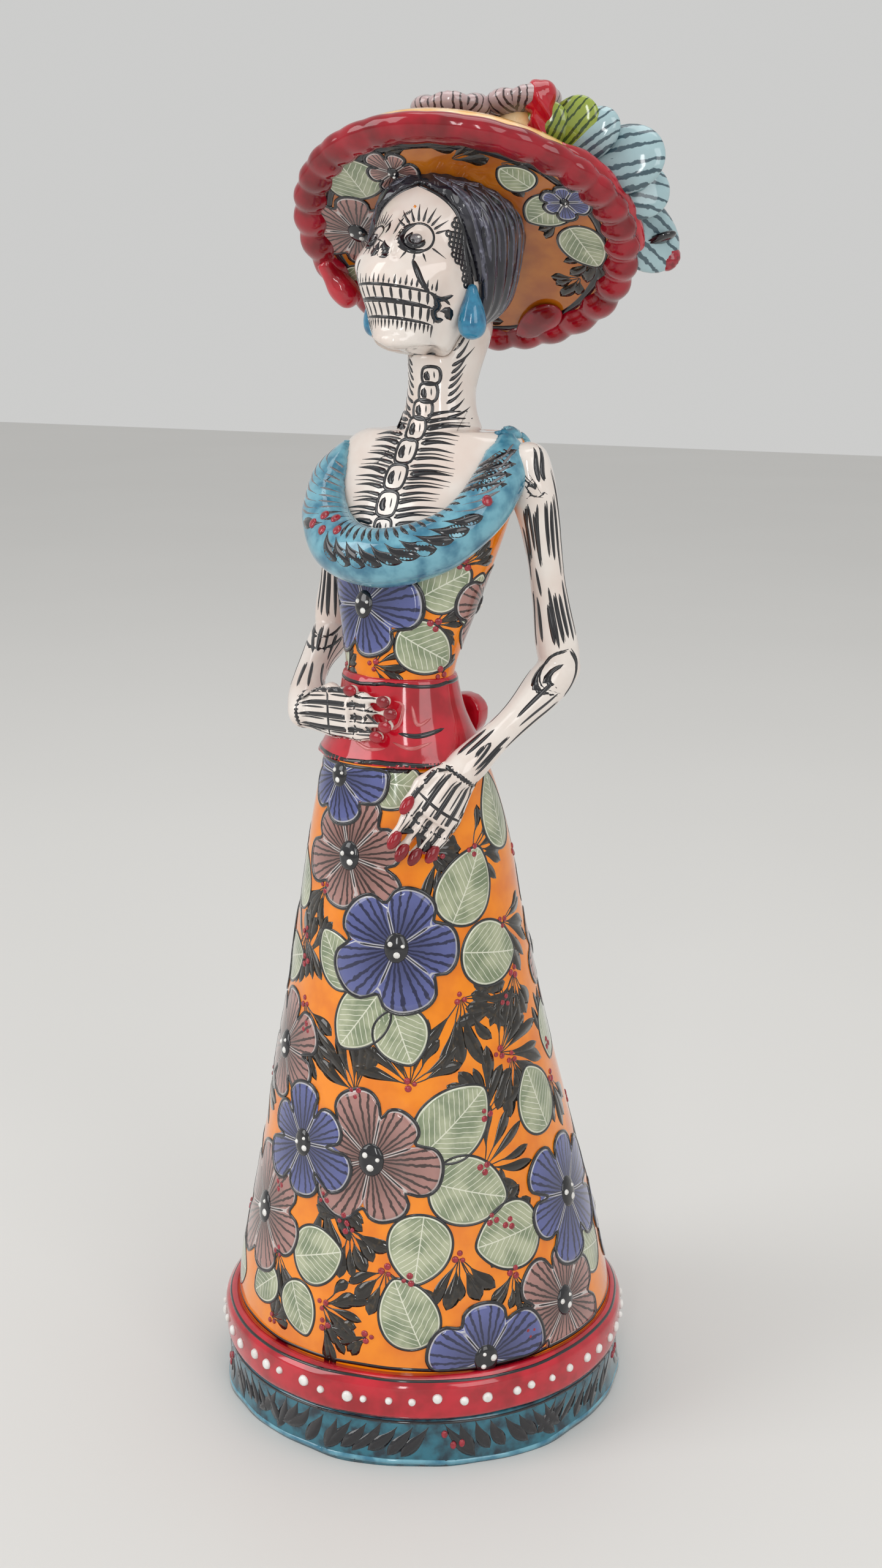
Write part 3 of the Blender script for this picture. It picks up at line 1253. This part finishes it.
HAIR_SHAPES = {side: pushed(skin_over(["hair_" + side], 0.6, 6), strands) for side in ("left", "right")}
cap_shape = hair_cap(skull_shape, 1.6)
piece("hair_cap", cap_shape, HAIR)
for side, shape in HAIR_SHAPES.items():
    node = "hair_" + side
    piece(node + "_strands", shape, HAIR, [node])
    start = len(shape[0])
    both = shape[0] + cap_shape[0], shape[1] + [[start + i for i in face] for face in cap_shape[1]]
    surface = Round(both, HEAD_CENTRE, HEAD_UP, HEAD_FACING, reach=45)
    mirror = 1 if side == "left" else -1
    for i in range(11):
        # Every third streak starts lower down, and every second one ends early.
        shift = 4.0 + 7.0 * i
        path = [
            (10 + mirror * (8 + 0.3 * shift), 17.5 - 0.02 * shift),
            (10 + mirror * (34 + 0.6 * shift), 13.0 + 0.05 * shift),
            (10 + mirror * (50 + 0.8 * shift), 6.5 + 0.07 * shift),
            (10 + mirror * (61 + 0.9 * shift), -1.0 + 0.05 * shift),
            (10 + mirror * (74 + 0.9 * shift), -9.0 - 0.02 * shift),
        ]
        shown = path[i % 3 // 2:5 - i % 2]
        drawn(HAIR_STREAKS, surface, shown, 1.1 + wobble(i, 0.4), lift=0.08, step=1.4)
    edge = [(10 + mirror * (a - 10), b - 0.1) for a, b in HAIR_EDGE[:6]]
    edge[0] = (9.0, HAIR_EDGE[0][1] - 0.1)
    drawn(BLACK_LINES, FACE, edge, 1.5, profile=even, lift=0.25, step=1.0)
for side in ("left", "right"):
    node = "earring_" + side
    piece(node + "_drop", pushed(skin_over([node], 0.35, 4), lambda p: 0.6), DROP, [node])

# ---- neckline, sash and bow ----

def collar_swell(point):
    """The roll is uneven, and stays broad where it goes over the shoulders."""
    return 0.4 * noise.noise(point / 10) + 0.8 * min(1.0, max(0.0, (point.z - 232) / 6))


collar_shape = pushed(skin_over(["collar_front", "collar_back"], 0.7, 8), collar_swell)
piece("collar_roll", collar_shape, COLLAR, ["collar_front", "collar_back"])
COLLAR_SKIN = Flat(collar_shape, (1, -8, 230), RIGHT, (0, 0.5, 0.86))


# The middle of the collar roll, from the figure's right shoulder round the front to its left.
COLLAR_PATH = [
    (-17, 4.6, 242.6), (-21.4, -2.6, 236.6), (-19.4, -12, 228.5), (-11, -19.6, 221.8), (0, -22.4, 219.8),
    (11, -19.6, 221.8), (20, -12, 228.5), (22.6, -2, 238), (19, 5, 244.5),
]
COLLAR_HALF = 6.3  # half the width of the roll


def collar_line():
    """The collar's middle line, as COLLAR_SKIN sees it."""
    flat = []
    for place in COLLAR_PATH:
        offset = Vector(place) - COLLAR_SKIN.origin
        flat.append((offset.dot(COLLAR_SKIN.across), offset.dot(COLLAR_SKIN.up)))
    return smooth_path(flat, 0.5)


COLLAR_LINE = collar_line()


def ring_place(share, across):
    """A place on the collar seen from in front: share along it from the figure's right, across it out."""
    count = len(COLLAR_LINE) - 1
    k = min(count - 1, max(1, round(share * count)))
    ahead = (COLLAR_LINE[k + 1] - COLLAR_LINE[k - 1]).normalized()
    out = Vector((ahead.y, -ahead.x))
    return tuple(COLLAR_LINE[k] + out * across * COLLAR_HALF)


def feather(share, lean, *stops):
    """Places for a brush stroke on the collar. Each stop is a share of the lean, and a place across."""
    return [ring_place(share + lean * k, across) for k, across in stops]


def collar_feathers():
    """Feathered brush strokes that lean along the roll, dense and black in front."""
    for i in range(64):
        share = 0.10 + 0.0125 * i
        lean = -0.022 if share < 0.36 else 0.024
        dark = 0.30 < share < 0.80
        inner = feather(share, lean, (0, -0.95), (0.5, -0.55), (1, -0.15))
        outer = feather(share, lean, (0, -0.05), (1.2, 0.4), (2.8, 0.72))
        if i % 2:
            drawn(BLACK_LINES if dark else GREY_LINES, COLLAR_SKIN, inner, 1.0 if dark else 0.6, profile=tear)
        if dark and share < 0.72:
            if i % 3 == 0:
                width = 2.9 + wobble(i, 0.5)
                drawn(BLACK_LINES, COLLAR_SKIN, outer, width, profile=tear, lift=0.09, step=0.7)
        elif i % 2:
            drawn(GREY_LINES, COLLAR_SKIN, outer, 0.6, profile=tear)
    for share, across in ((0.30, -0.25), (0.335, -0.55), (0.345, 0.1), (0.385, -0.3), (0.30, 0.3)):
        dome(BERRIES, COLLAR_SKIN.spot(*ring_place(share, across)), 1.2, 1.5, 0.5)
    for i in range(4):
        share = 0.80 + 0.028 * i
        plume = feather(share, 0.05, (0, -0.85), (0.4, 0.0), (1, 0.8))
        drawn(BLACK_LINES, COLLAR_SKIN, plume, 3.1, profile=tear)
    dome(BERRIES, COLLAR_SKIN.spot(*ring_place(0.80, 0.55)), 1.1, 1.5, 0.5)


collar_feathers()


def sash_fit(point):
    """The belt runs a little up the waist and down over the top of the skirt."""
    up_share = max(0.0, (point.z - 180) / 8)
    down_share = max(0.0, (176.5 - point.z) / 4)
    out = Vector((point.x, point.y + 4, 0)).normalized()
    rise = 3.2 * up_share ** 2 - 2.2 * down_share ** 2
    return point + UP * rise + out * (1.7 * down_share ** 2 - 0.9 * up_share)


sash_points, sash_faces = pushed(skin_over(["sash"], 0.6, 6), ripple(12, 0.25))
sash_shape = [sash_fit(p) for p in sash_points], sash_faces
piece("sash_belt", sash_shape, RED, ["sash"])
SASH = Round(sash_shape, (0, -9, 0), reach=60)
ring_line(BLACK_LINES, SASH, top_of("sash") + 1.6, 0.9)
ring_line(BLACK_LINES, SASH, floor_of("sash") - 0.9, 1.1)
ring_line(BLACK_LINES, SKIRT, WAIST - 1.6, 0.8)
drawn(BLACK_LINES, SASH, [(24, 178.6), (40, 178.0), (62, 179.4)], 1.2)
for path in [
    [(12, 185.5), (14, 180), (24, 180.5), (28, 185), (20, 186)], [(36, 185), (40, 180.6), (52, 182)],
    [(-4, 183.5), (2, 181), (2, 177.5), (-6, 175.5)], [(20, 176.5), (34, 175.2), (50, 176.5)],
    [(-14, 176), (0, 174.6), (14, 175)],
]:
    drawn(PINK_LINES, SASH, path, 0.9)
for node in ("sash_knot", "sash_loop_left", "sash_loop_right", "sash_tail_left", "sash_tail_right"):
    shape = pushed(skin_over([node], 0.5, 5), ripple(5, 0.3))
    piece(node + "_clay", shape, RED, [node])
    low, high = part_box(node)
    surface = Flat(shape, (0, 0, 0), -RIGHT, UP)
    middle = (low + high) / 2 / MM
    half = (high - low) / 2 / MM
    turns = [math.pi * k / 5 for k in range(11)]
    edge = arc(0.72 * half.x, 0.72 * half.z, turns, -middle.x, middle.z)
    drawn(PALE_TEAL if "loop" in node else BLACK_LINES, surface, edge, 0.9, profile=even)

# ---- hat ----

# The middle of the brim and the way out of the crown: the hat is tipped back.
HAT_CENTRE = Vector((3.0, 16.9, 293.3))
HAT_UP = Vector((-0.12, 0.61, 0.78)).normalized()
HAT_RIGHT = (RIGHT - HAT_UP * RIGHT.dot(HAT_UP)).normalized()
HAT_BACK = HAT_UP.cross(HAT_RIGHT)
BRIM_RADIUS = 37.0
BRIM_HALF = 1.3  # half the brim's thickness


def hat(x, y, z=0.0):
    """A place from the middle of the brim: x to the figure's left, y to the back, z out of the crown."""
    return HAT_CENTRE + HAT_RIGHT * x + HAT_BACK * y + HAT_UP * z


def brim_bend(angle):
    """How far the brim's edge is bent out of flat: a little, as in handwork."""
    return 0.7 * math.sin(2 * angle + 0.5) + 0.5 * math.sin(3 * angle + 1.8)


def disc(radius, half, rings=26, spokes=120):
    """The brim: a plate with a top, a bottom and a bent edge."""
    points = [hat(0, 0, half)]
    for k in range(1, rings + 1):
        for m in range(spokes):
            angle = 2 * math.pi * m / spokes
            reach = radius * k / rings
            rise = half + brim_bend(angle) * (k / rings) ** 2
            points.append(hat(reach * math.cos(angle), reach * math.sin(angle), rise))
    top = len(points)
    points += [p - HAT_UP * 2 * half for p in points]
    faces = []
    for m in range(spokes):
        n = (m + 1) % spokes
        faces += [[0, 1 + m, 1 + n], [top, top + 1 + n, top + 1 + m]]
        for k in range(rings - 1):
            low, high = 1 + k * spokes, 1 + (k + 1) * spokes
            faces.append([low + m, high + m, high + n, low + n])
            faces.append([top + low + n, top + high + n, top + high + m, top + low + m])
        last = 1 + (rings - 1) * spokes
        faces.append([last + m, top + last + m, top + last + n, last + n])
    return points, faces


def coil(middle, height, wide, tall, crimp, columns=420, rows=22, pinches=32):
    """A roll round the brim, crimped into lobes, more deeply below than above."""
    points = []
    for m in range(columns):
        angle = 2 * math.pi * m / columns
        wave = math.sqrt(math.sin(pinches * angle / 2 + 0.8 * math.sin(3 * angle)) ** 2 + 0.05) - 0.7
        wave *= 0.25 + 0.75 * min(1.0, abs(math.remainder(angle + math.pi / 2, 2 * math.pi)) / 1.1) ** 2
        for k in range(rows):
            turn = 2 * math.pi * k / rows
            under = 0.7 - 0.3 * math.sin(turn + 0.5)
            swell = 1 + wave * crimp * under ** 0.8
            reach = middle + wide * math.cos(turn) * swell
            rise = height + tall * math.sin(turn) * swell + brim_bend(angle)
            points.append(hat(reach * math.cos(angle), reach * math.sin(angle), rise))
    return points, turned(loft_faces(columns, rows, closed=True))


brim_shape = disc(BRIM_RADIUS, BRIM_HALF)
rim_shape = coil(38.2, -0.2, 4.1, 3.0, 0.36)
piece("brim", brim_shape, SHADED_ORANGE, ["hat_brim"])
piece("brim_coil", rim_shape, DEEP_RED, ["hat_rim"])
piece("brim_edge", coil(36.4, 3.6, 2.0, 3.2, 0.0, 180, 12), EDGE_CREAM)
UNDER = Flat(brim_shape, HAT_CENTRE, HAT_RIGHT, -HAT_BACK)
OVER = Flat(brim_shape, HAT_CENTRE, HAT_RIGHT, HAT_BACK)
RIM_OVER = Flat(rim_shape, HAT_CENTRE, HAT_RIGHT, HAT_BACK)


def circle(radius, count=36, wander=0.3):
    places = []
    for i in range(count):
        angle = 2 * math.pi * i / count
        reach = radius + wander * wobble(i + radius)
        places.append((reach * math.cos(angle), reach * math.sin(angle)))
    return places


stroke(BLACK_LINES, UNDER.spot(0, 0), circle(33.7), 1.9, even, step=2, closed=True)
stroke(BLACK_LINES, OVER.spot(0, 0), circle(34.2), 1.0, even, step=2, closed=True)
stroke(PALE_ORANGE, RIM_OVER.spot(0, 0), circle(38.2), 1.3, even, step=2, closed=True)
flower(UNDER, "mauve", -25.5, 7, 12.5, 6, 15)
flower(UNDER, "mauve", -8, 25.5, 7, 6, 0)
flower(UNDER, "blue", 29, 9, 6, 6, 20)
flower(UNDER, "mauve", -22, -22, 9, 6, 20)
for a, b, length, width, heading in [
    (-18, 18, 13, 13, 100), (29, 9, 11, 10, 205), (27, 0, 14, 9.5, -80), (23, 15, 9, 8, 120),
    (-31, -4, 10, 8, -100), (-14, -24, 10, 8, -40),
]:
    leaf(UNDER, a, b, length, width, heading, low=-99, high=99)
for a, b, heading, spread, count, length in [
    (19, 25, -45, 60, 4, 8), (0, 33, 180, 30, 3, 9), (3, 33, 0, 30, 3, 8), (30, -12, 220, 80, 4, 9),
    (24, -18, 200, 80, 4, 8), (25, 2, 190, 60, 3, 6), (8, 28, 10, 70, 4, 9), (18, 21, -30, 90, 4, 8),
    (-28, 20, 120, 60, 3, 7), (-10, -30, 20, 60, 3, 8),
]:
    spray(UNDER, a, b, heading, spread, count, length, 3.2, berries=0)
for i in range(6):
    turn = math.radians(60 * i + 40)
    flower(OVER, "blue" if i % 2 else "mauve", 28 * math.cos(turn), 28 * math.sin(turn), 6, 5, 60 * i)
    turn += math.radians(30)
    x, y = 25 * math.cos(turn), 25 * math.sin(turn)
    leaf(OVER, x, y, 8, 7, math.degrees(turn), low=-99, high=99)

crown_shape = pushed(skin_over(["hat_crown"], 0.9, 8), ripple(9, 0.3))
piece("crown", crown_shape, SHADED_ORANGE, ["hat_crown"])
CROWN = Round(crown_shape, HAT_CENTRE, HAT_UP, -HAT_BACK, reach=40)
for i in range(5):
    flower(CROWN, "mauve" if i % 2 else "blue", 72 * i + 20, 11, 5.5, 5, 30 * i)
    leaf(CROWN, 72 * i + 46, 12, 7, 6, 60, low=0, high=40)
BUD = centre_of("hat_bud")


def bud_grooves(point):
    return 0.22 * math.sin((point - BUD).dot(Vector((0.9, 0.1, 0.5))) * 1.7)


for node, grain, wave in [
    ("hat_ribbon", 0.6, ripple(5, 0.25)), ("hat_tail", 0.5, ripple(5, 0.25)), ("hat_bud", 0.4, bud_grooves),
]:
    piece(node + "_clay", pushed(skin_over([node], grain, 5), wave), RED, [node])

# The way the flat of each plume feather and clay leaf faces.
TOWARD_EYE = Vector((0.42, -0.88, 0.22))


def lobe(paint, base, tip, normal, half_width, half_depth, rows=16, columns=24):
    """A rounded petal of clay from base to tip. Its material reads: across the petal and reach."""
    out = (tip - base).normalized()
    side = normal.cross(out).normalized()
    over = out.cross(side)
    middle, half_length = (base + tip) / 2, (tip - base).length / 2
    points, marks = [middle - out * half_length], [(0.0, 0.0, 9.0)]
    for r in range(1, rows):
        u = -math.cos(math.pi * r / rows)
        girth = math.sin(math.pi * r / rows) * (1 + 0.28 * u)
        for c in range(columns):
            turn = 2 * math.pi * c / columns
            v, w = math.cos(turn), math.sin(turn)
            ridge = 1 + 0.10 * math.cos(11 * math.asin(max(-1, min(1, v)))) * max(0, w)
            points.append(
                middle + out * half_length * u + side * half_width * girth * v
                + over * half_depth * girth * w * ridge
            )
            marks.append((abs(v * girth), (u + 1) / 2, 9.0))
    points.append(middle + out * half_length)
    marks.append((0.0, 1.0, 9.0))
    paint.add(points, turned(ball_faces(rows - 1, columns)), marks)


def clay_flower(paint, centre, normal, radius, petals):
    """A flower of rounded petals that cup upward, with a dotted black heart."""
    normal = normal.normalized()
    level = normal.cross(UP).normalized()
    steep = normal.cross(level)
    for i in range(petals):
        turn = 2 * math.pi * (i + 0.3) / petals
        out = level * math.cos(turn) + steep * math.sin(turn)
        tip = centre + out * radius + normal * radius * (0.34 + 0.08 * wobble(i))
        lobe(paint, centre - normal * 0.6, tip, normal - out * 0.4, 0.52 * radius, 0.24 * radius)
    lobe(HEARTS, centre - normal * 0.5, centre + normal * 0.42 * radius, out, 0.2 * radius, 0.2 * radius)


LAPPET = Paint()
lobe(LAPPET, hat(1, 37, -2.6), hat(15, 26.5, -2.2), -HAT_UP, 4.2, 1.3)
LAPPET.piece("rim_lappet", DEEP_RED, "red_glaze")
STALKS = Paint()
lobe(STALKS, hat(3, -17, -1), hat(3.5, -24.5, 17), HAT_BACK, 5.5, 4.5)
lobe(STALKS, hat(15, -14, 0), hat(18.5, -19.5, 21), HAT_BACK, 5.0, 4.5)
STALKS.piece("flower_mounds", EDGE_CREAM, "orange_glaze")
HAT_PETALS = Paint()
clay_flower(HAT_PETALS, hat(3.5, -24.0, 14.5), HAT_UP * 0.93 - HAT_BACK * 0.5, 10.0, 6)
clay_flower(HAT_PETALS, hat(18.5, -19.0, 18.5), HAT_UP * 0.9 - HAT_BACK * 0.5 - HAT_RIGHT * 0.1, 9.6, 6)
HAT_PETALS.piece("clay_petals", HAT_MAUVE, "mauve_glaze", "hat_flower_front", "hat_flower_side")

# Places on the hat, from the crown out, that each feather of the plume runs between, and its half width.
FEATHERS = [
    ((22, -9, 9), (41, -15, 17.5), 5.4), ((24, -7, 9), (50.5, -6, 13.5), 7.8),
    ((27, -6, 9), (48.5, 6, 10.6), 7.0), ((28, -9, 9.5), (45, 24.5, 6.2), 8.0),
]
FEATHER_PAINT = Paint()
for base, tip, half_width in FEATHERS:
    lobe(FEATHER_PAINT, hat(*base), hat(*tip), TOWARD_EYE, half_width, 2.6, 20, 28)
# The plume's red tip and the black bar across it.
lobe(BERRIES, hat(42.6, 20.4, 6.6), hat(45.2, 25.2, 6.2), TOWARD_EYE, 3.0, 2.4)
lobe(HEARTS, hat(35.4, 20.6, 7.0), hat(47.6, 14.6, 7.0), TOWARD_EYE, 1.2, 3.3)
FEATHER_PAINT.piece("plume_feathers", PLUME, "plume_glaze", "plume_upper", "plume_middle", "plume_lower")
LEAF_PAINT = Paint()
for base, tip, half_width in [
    ((20, -10, 8), (36, -19, 19), 5.6), ((20, -13, 8), (28, -21, 18), 5.0),
    ((23, -8, 8), (38, -15, 15.5), 4.4),
]:
    lobe(LEAF_PAINT, hat(*base), hat(*tip), TOWARD_EYE, half_width, 1.6, 18, 24)
LEAF_PAINT.piece("clay_leaf", HAT_LEAF, "leaf_glaze", "hat_leaf")


def tube(path, radius, columns=24):
    """A round closed roll through a path of places, thinner at its ends."""
    places = smooth_path(path, 1.0)
    count = len(places)
    points = []
    for i, place in enumerate(places):
        ahead = (places[min(i + 1, count - 1)] - places[max(i - 1, 0)]).normalized()
        side = ahead.cross(HAT_UP).normalized()
        over = side.cross(ahead)
        share = i / (count - 1)
        girth = radius * max(0.12, math.sin(math.pi * (0.04 + 0.92 * share)) ** 0.4)
        for k in range(columns):
            turn = 2 * math.pi * k / columns
            points.append(place + (side * math.cos(turn) + over * math.sin(turn)) * girth)
    return points, loft_faces(count, columns, closed=False)


band_path = [hat(31, -21, 4.5), hat(36, -12, 5.0), hat(39, 0, 4.6), hat(39, 12, 4.2), hat(36, 20, 3.6)]
band_roll = pushed(tube(band_path, 2.7), ripple(3, 0.4))
piece("brim_band", band_roll, RED)


# ---- the paint, one piece to a kind ----

DABS.piece("brush_dabs", BROWN, "black_glaze")
LEAVES.piece("painted_leaves", LEAF, "leaf_glaze")
PETALS["blue"].piece("blue_petals", BLUE_PETAL, "mauve_glaze")
PETALS["mauve"].piece("mauve_petals", MAUVE_PETAL, "mauve_glaze")
OUTLINES.piece("motif_outlines", BLACK, "black_glaze")
BERRIES.piece("berries", BERRY, "red_glaze")
HEARTS.piece("flower_hearts", BLACK, "black_glaze", "hat_flower_centres")
DOTS.piece("heart_dots", SLIP, "white_slip")
BEADS.piece("slip_beads", SLIP, "white_slip", "hem_beads")
BLACK_LINES.piece("black_lines", BLACK, "black_glaze")
GREY_LINES.piece("grey_lines", GREY, "black_glaze")
PINK_LINES.piece("pink_lines", PINK, "red_glaze")
HAIR_STREAKS.piece("hair_streaks", STREAK, "black_glaze")
YELLOW_MARKS.piece("hairline_mark", SUN, "orange_glaze")
PALE_ORANGE.piece("coil_edge_line", SUN, "orange_glaze")
PALE_TEAL.piece("foot_edge_line", COLLAR, "teal_glaze")

# ---- stage, light and camera ----

def look(location, target):
    return (Vector(target) - Vector(location)).to_track_quat("-Z", "Y").to_euler()


def softbox(name, location, target, width, height, watts):
    """A soft rectangular studio lamp."""
    data = bpy.data.lights.new(name, "AREA")
    data.shape = "RECTANGLE"
    data.size, data.size_y = width, height
    data.energy = watts
    lamp = bpy.data.objects.new(name, data)
    lamp.location = location
    lamp.rotation_euler = look(location, target)
    SCENE.collection.objects.link(lamp)


FLOOR_HALF = 3.0  # metres


def stage():
    """A plain pale floor and an even pale world round it."""
    mesh = bpy.data.meshes.new("floor")
    corners = [(x * FLOOR_HALF, y * FLOOR_HALF, 0) for x, y in ((-1, -1), (1, -1), (1, 1), (-1, 1))]
    mesh.from_pydata(corners, [], [(0, 1, 2, 3)])
    pale = Nodes("pale floor", 0.5, 0.0)
    cloud = pale.noise(300.0, 2.0)
    mesh.materials.append(pale.done(pale.mix(cloud, (0.74, 0.73, 0.71), (0.70, 0.69, 0.67))))
    floor = bpy.data.objects.new("floor", mesh)
    SCENE.collection.objects.link(floor)
    world = bpy.data.worlds.new("studio")
    world.use_nodes = True
    background = world.node_tree.nodes["Background"]
    background.inputs["Color"].default_value = (0.80, 0.80, 0.79, 1)
    background.inputs["Strength"].default_value = 0.76
    SCENE.world = world


CAMERA_TURN = math.radians(28)
CAMERA_TILT = math.radians(14)
CAMERA_BACK = 485
CAMERA_HEIGHT = 281
CAMERA_SHIFT = 4.8
FOCAL_LENGTH = 45.58


def camera():
    """The photograph's view: 28 degrees round to the figure's left, looking 14 degrees down."""
    back = Vector((math.sin(CAMERA_TURN), -math.cos(CAMERA_TURN), 0))
    side = Vector((math.cos(CAMERA_TURN), math.sin(CAMERA_TURN), 0))
    data = bpy.data.cameras.new("camera")
    data.sensor_width = 36
    data.lens = FOCAL_LENGTH
    data.clip_start = 0.01
    viewer = bpy.data.objects.new("camera", data)
    viewer.location = (back * CAMERA_BACK + UP * CAMERA_HEIGHT + side * CAMERA_SHIFT) * MM
    ahead = -back * math.cos(CAMERA_TILT) - UP * math.sin(CAMERA_TILT)
    viewer.rotation_euler = ahead.to_track_quat("-Z", "Y").to_euler()
    SCENE.collection.objects.link(viewer)
    SCENE.camera = viewer


stage()
# Place and target in metres, width and height of the panel, and its power in watts.
softbox("window", (-0.9, -0.9, 0.9), (0, 0, 0.2), 0.7, 1.1, 7)
softbox("fill", (1.1, -0.7, 0.7), (0, 0, 0.2), 0.6, 0.9, 3.5)
softbox("top", (0.1, 0.1, 1.4), (0, 0, 0.15), 0.9, 0.9, 4.5)
softbox("strip", (0.37, -1.14, 0.5), (0, 0, 0.15), 0.1, 0.55, 1.6)
camera()
SCENE.view_settings.view_transform = "Standard"
